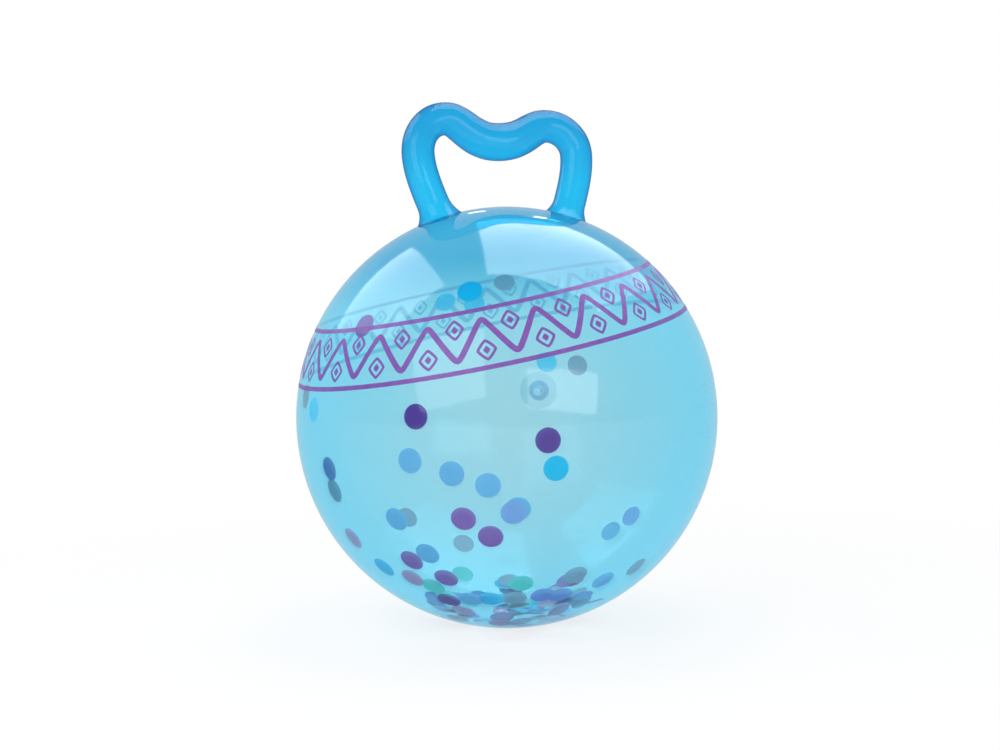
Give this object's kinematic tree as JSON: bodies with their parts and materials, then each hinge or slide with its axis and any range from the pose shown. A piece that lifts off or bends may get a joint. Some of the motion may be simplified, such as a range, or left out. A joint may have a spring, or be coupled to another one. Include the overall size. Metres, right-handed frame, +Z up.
{
  "type": "hopper ball",
  "caption": "See-through inflatable ball with a soft carrying loop on top, a push-in air valve and loose round confetti inside, for a child to sit on and hop.",
  "frame": {"origin": "middle of the flat patch under the ball, on the floor", "axes": "+Z up through the ball's middle to the handle, +X along the handle from one foot to the other, +Y the way the handle leans"},
  "size_m": [0.3999, 0.3998, 0.4967],
  "materials": {
    "skin": "clear soft vinyl, high gloss, tinted cyan",
    "handle": "thick soft vinyl, deeper blue, glossy",
    "valve_seat": "soft vinyl",
    "valve_plug": "white moulded plastic",
    "film_violet": "thin violet film",
    "film_purple": "thin purple film",
    "film_cyan": "thin cyan film",
    "film_blue": "thin blue film",
    "film_green": "thin green film",
    "film_pink": "thin pink film",
    "film_mauve": "thin mauve film"
  },
  "bodies": {
    "ball": {"ball_skin": "skin", "handle": "handle", "valve_seat": "valve_seat"},
    "plug": {"valve_plug": "valve_plug"},
    "confetti_blue_1": {"confetti_blue_1": "film_blue"},
    "confetti_blue_10": {"confetti_blue_10": "film_blue"},
    "confetti_blue_11": {"confetti_blue_11": "film_blue"},
    "confetti_blue_12": {"confetti_blue_12": "film_blue"},
    "confetti_blue_2": {"confetti_blue_2": "film_blue"},
    "confetti_blue_3": {"confetti_blue_3": "film_blue"},
    "confetti_blue_4": {"confetti_blue_4": "film_blue"},
    "confetti_blue_5": {"confetti_blue_5": "film_blue"},
    "confetti_blue_6": {"confetti_blue_6": "film_blue"},
    "confetti_blue_7": {"confetti_blue_7": "film_blue"},
    "confetti_blue_8": {"confetti_blue_8": "film_blue"},
    "confetti_blue_9": {"confetti_blue_9": "film_blue"},
    "confetti_cyan_1": {"confetti_cyan_1": "film_cyan"},
    "confetti_cyan_2": {"confetti_cyan_2": "film_cyan"},
    "confetti_cyan_3": {"confetti_cyan_3": "film_cyan"},
    "confetti_cyan_4": {"confetti_cyan_4": "film_cyan"},
    "confetti_cyan_5": {"confetti_cyan_5": "film_cyan"},
    "confetti_cyan_6": {"confetti_cyan_6": "film_cyan"},
    "confetti_cyan_7": {"confetti_cyan_7": "film_cyan"},
    "confetti_green_1": {"confetti_green_1": "film_green"},
    "confetti_green_2": {"confetti_green_2": "film_green"},
    "confetti_green_3": {"confetti_green_3": "film_green"},
    "confetti_mauve_1": {"confetti_mauve_1": "film_mauve"},
    "confetti_mauve_2": {"confetti_mauve_2": "film_mauve"},
    "confetti_mauve_3": {"confetti_mauve_3": "film_mauve"},
    "confetti_mauve_4": {"confetti_mauve_4": "film_mauve"},
    "confetti_mauve_5": {"confetti_mauve_5": "film_mauve"},
    "confetti_mauve_6": {"confetti_mauve_6": "film_mauve"},
    "confetti_mauve_7": {"confetti_mauve_7": "film_mauve"},
    "confetti_mauve_8": {"confetti_mauve_8": "film_mauve"},
    "confetti_mauve_9": {"confetti_mauve_9": "film_mauve"},
    "confetti_pink_1": {"confetti_pink_1": "film_pink"},
    "confetti_pink_2": {"confetti_pink_2": "film_pink"},
    "confetti_pink_3": {"confetti_pink_3": "film_pink"},
    "confetti_purple_1": {"confetti_purple_1": "film_purple"},
    "confetti_purple_2": {"confetti_purple_2": "film_purple"},
    "confetti_purple_3": {"confetti_purple_3": "film_purple"},
    "confetti_purple_4": {"confetti_purple_4": "film_purple"},
    "confetti_purple_5": {"confetti_purple_5": "film_purple"},
    "confetti_violet_1": {"confetti_violet_1": "film_violet"},
    "confetti_violet_2": {"confetti_violet_2": "film_violet"},
    "confetti_violet_3": {"confetti_violet_3": "film_violet"},
    "confetti_violet_4": {"confetti_violet_4": "film_violet"},
    "confetti_violet_5": {"confetti_violet_5": "film_violet"},
    "confetti_violet_6": {"confetti_violet_6": "film_violet"},
    "confetti_heap": {"heap_blue": "film_blue", "heap_cyan": "film_cyan", "heap_green": "film_green", "heap_mauve": "film_mauve", "heap_pink": "film_pink", "heap_purple": "film_purple", "heap_violet": "film_violet"}
  },
  "joints": [
    {"name": "plug_pull", "type": "slide", "parent": "ball", "child": "plug", "axis": [0.4993, 0.8648, 0.0523], "range_m": [0, 0.03]},
    {"name": "confetti_blue_1_swirl", "type": "hinge", "parent": "ball", "child": "confetti_blue_1", "pos_m": [0, 0, 0.19774], "axis": [0, 0, 1], "continuous": true},
    {"name": "confetti_blue_10_swirl", "type": "hinge", "parent": "ball", "child": "confetti_blue_10", "pos_m": [0, 0, 0.19774], "axis": [0, 0, 1], "continuous": true},
    {"name": "confetti_blue_11_swirl", "type": "hinge", "parent": "ball", "child": "confetti_blue_11", "pos_m": [0, 0, 0.19774], "axis": [0, 0, 1], "continuous": true},
    {"name": "confetti_blue_12_swirl", "type": "hinge", "parent": "ball", "child": "confetti_blue_12", "pos_m": [0, 0, 0.19774], "axis": [0, 0, 1], "continuous": true},
    {"name": "confetti_blue_2_swirl", "type": "hinge", "parent": "ball", "child": "confetti_blue_2", "pos_m": [0, 0, 0.19774], "axis": [0, 0, 1], "continuous": true},
    {"name": "confetti_blue_3_swirl", "type": "hinge", "parent": "ball", "child": "confetti_blue_3", "pos_m": [0, 0, 0.19774], "axis": [0, 0, 1], "continuous": true},
    {"name": "confetti_blue_4_swirl", "type": "hinge", "parent": "ball", "child": "confetti_blue_4", "pos_m": [0, 0, 0.19774], "axis": [0, 0, 1], "continuous": true},
    {"name": "confetti_blue_5_swirl", "type": "hinge", "parent": "ball", "child": "confetti_blue_5", "pos_m": [0, 0, 0.19774], "axis": [0, 0, 1], "continuous": true},
    {"name": "confetti_blue_6_swirl", "type": "hinge", "parent": "ball", "child": "confetti_blue_6", "pos_m": [0, 0, 0.19774], "axis": [0, 0, 1], "continuous": true},
    {"name": "confetti_blue_7_swirl", "type": "hinge", "parent": "ball", "child": "confetti_blue_7", "pos_m": [0, 0, 0.19774], "axis": [0, 0, 1], "continuous": true},
    {"name": "confetti_blue_8_swirl", "type": "hinge", "parent": "ball", "child": "confetti_blue_8", "pos_m": [0, 0, 0.19774], "axis": [0, 0, 1], "continuous": true},
    {"name": "confetti_blue_9_swirl", "type": "hinge", "parent": "ball", "child": "confetti_blue_9", "pos_m": [0, 0, 0.19774], "axis": [0, 0, 1], "continuous": true},
    {"name": "confetti_cyan_1_swirl", "type": "hinge", "parent": "ball", "child": "confetti_cyan_1", "pos_m": [0, 0, 0.19774], "axis": [0, 0, 1], "continuous": true},
    {"name": "confetti_cyan_2_swirl", "type": "hinge", "parent": "ball", "child": "confetti_cyan_2", "pos_m": [0, 0, 0.19774], "axis": [0, 0, 1], "continuous": true},
    {"name": "confetti_cyan_3_swirl", "type": "hinge", "parent": "ball", "child": "confetti_cyan_3", "pos_m": [0, 0, 0.19774], "axis": [0, 0, 1], "continuous": true},
    {"name": "confetti_cyan_4_swirl", "type": "hinge", "parent": "ball", "child": "confetti_cyan_4", "pos_m": [0, 0, 0.19774], "axis": [0, 0, 1], "continuous": true},
    {"name": "confetti_cyan_5_swirl", "type": "hinge", "parent": "ball", "child": "confetti_cyan_5", "pos_m": [0, 0, 0.19774], "axis": [0, 0, 1], "continuous": true},
    {"name": "confetti_cyan_6_swirl", "type": "hinge", "parent": "ball", "child": "confetti_cyan_6", "pos_m": [0, 0, 0.19774], "axis": [0, 0, 1], "range_deg": [-105, 150]},
    {"name": "confetti_cyan_7_swirl", "type": "hinge", "parent": "ball", "child": "confetti_cyan_7", "pos_m": [0, 0, 0.19774], "axis": [0, 0, 1], "continuous": true},
    {"name": "confetti_green_1_swirl", "type": "hinge", "parent": "ball", "child": "confetti_green_1", "pos_m": [0, 0, 0.19774], "axis": [0, 0, 1], "continuous": true},
    {"name": "confetti_green_2_swirl", "type": "hinge", "parent": "ball", "child": "confetti_green_2", "pos_m": [0, 0, 0.19774], "axis": [0, 0, 1], "continuous": true},
    {"name": "confetti_green_3_swirl", "type": "hinge", "parent": "ball", "child": "confetti_green_3", "pos_m": [0, 0, 0.19774], "axis": [0, 0, 1], "continuous": true},
    {"name": "confetti_mauve_1_swirl", "type": "hinge", "parent": "ball", "child": "confetti_mauve_1", "pos_m": [0, 0, 0.19774], "axis": [0, 0, 1], "continuous": true},
    {"name": "confetti_mauve_2_swirl", "type": "hinge", "parent": "ball", "child": "confetti_mauve_2", "pos_m": [0, 0, 0.19774], "axis": [0, 0, 1], "continuous": true},
    {"name": "confetti_mauve_3_swirl", "type": "hinge", "parent": "ball", "child": "confetti_mauve_3", "pos_m": [0, 0, 0.19774], "axis": [0, 0, 1], "continuous": true},
    {"name": "confetti_mauve_4_swirl", "type": "hinge", "parent": "ball", "child": "confetti_mauve_4", "pos_m": [0, 0, 0.19774], "axis": [0, 0, 1], "continuous": true},
    {"name": "confetti_mauve_5_swirl", "type": "hinge", "parent": "ball", "child": "confetti_mauve_5", "pos_m": [0, 0, 0.19774], "axis": [0, 0, 1], "continuous": true},
    {"name": "confetti_mauve_6_swirl", "type": "hinge", "parent": "ball", "child": "confetti_mauve_6", "pos_m": [0, 0, 0.19774], "axis": [0, 0, 1], "continuous": true},
    {"name": "confetti_mauve_7_swirl", "type": "hinge", "parent": "ball", "child": "confetti_mauve_7", "pos_m": [0, 0, 0.19774], "axis": [0, 0, 1], "continuous": true},
    {"name": "confetti_mauve_8_swirl", "type": "hinge", "parent": "ball", "child": "confetti_mauve_8", "pos_m": [0, 0, 0.19774], "axis": [0, 0, 1], "range_deg": [-105, 150]},
    {"name": "confetti_mauve_9_swirl", "type": "hinge", "parent": "ball", "child": "confetti_mauve_9", "pos_m": [0, 0, 0.19774], "axis": [0, 0, 1], "continuous": true},
    {"name": "confetti_pink_1_swirl", "type": "hinge", "parent": "ball", "child": "confetti_pink_1", "pos_m": [0, 0, 0.19774], "axis": [0, 0, 1], "continuous": true},
    {"name": "confetti_pink_2_swirl", "type": "hinge", "parent": "ball", "child": "confetti_pink_2", "pos_m": [0, 0, 0.19774], "axis": [0, 0, 1], "continuous": true},
    {"name": "confetti_pink_3_swirl", "type": "hinge", "parent": "ball", "child": "confetti_pink_3", "pos_m": [0, 0, 0.19774], "axis": [0, 0, 1], "continuous": true},
    {"name": "confetti_purple_1_swirl", "type": "hinge", "parent": "ball", "child": "confetti_purple_1", "pos_m": [0, 0, 0.19774], "axis": [0, 0, 1], "continuous": true},
    {"name": "confetti_purple_2_swirl", "type": "hinge", "parent": "ball", "child": "confetti_purple_2", "pos_m": [0, 0, 0.19774], "axis": [0, 0, 1], "continuous": true},
    {"name": "confetti_purple_3_swirl", "type": "hinge", "parent": "ball", "child": "confetti_purple_3", "pos_m": [0, 0, 0.19774], "axis": [0, 0, 1], "continuous": true},
    {"name": "confetti_purple_4_swirl", "type": "hinge", "parent": "ball", "child": "confetti_purple_4", "pos_m": [0, 0, 0.19774], "axis": [0, 0, 1], "continuous": true},
    {"name": "confetti_purple_5_swirl", "type": "hinge", "parent": "ball", "child": "confetti_purple_5", "pos_m": [0, 0, 0.19774], "axis": [0, 0, 1], "continuous": true},
    {"name": "confetti_violet_1_swirl", "type": "hinge", "parent": "ball", "child": "confetti_violet_1", "pos_m": [0, 0, 0.19774], "axis": [0, 0, 1], "range_deg": [-105, 150]},
    {"name": "confetti_violet_2_swirl", "type": "hinge", "parent": "ball", "child": "confetti_violet_2", "pos_m": [0, 0, 0.19774], "axis": [0, 0, 1], "range_deg": [-105, 150]},
    {"name": "confetti_violet_3_swirl", "type": "hinge", "parent": "ball", "child": "confetti_violet_3", "pos_m": [0, 0, 0.19774], "axis": [0, 0, 1], "continuous": true},
    {"name": "confetti_violet_4_swirl", "type": "hinge", "parent": "ball", "child": "confetti_violet_4", "pos_m": [0, 0, 0.19774], "axis": [0, 0, 1], "continuous": true},
    {"name": "confetti_violet_5_swirl", "type": "hinge", "parent": "ball", "child": "confetti_violet_5", "pos_m": [0, 0, 0.19774], "axis": [0, 0, 1], "continuous": true},
    {"name": "confetti_violet_6_swirl", "type": "hinge", "parent": "ball", "child": "confetti_violet_6", "pos_m": [0, 0, 0.19774], "axis": [0, 0, 1], "continuous": true},
    {"name": "confetti_heap_swirl", "type": "hinge", "parent": "ball", "child": "confetti_heap", "pos_m": [0, 0, 0.19774], "axis": [0, 0, 1], "continuous": true}
  ]
}
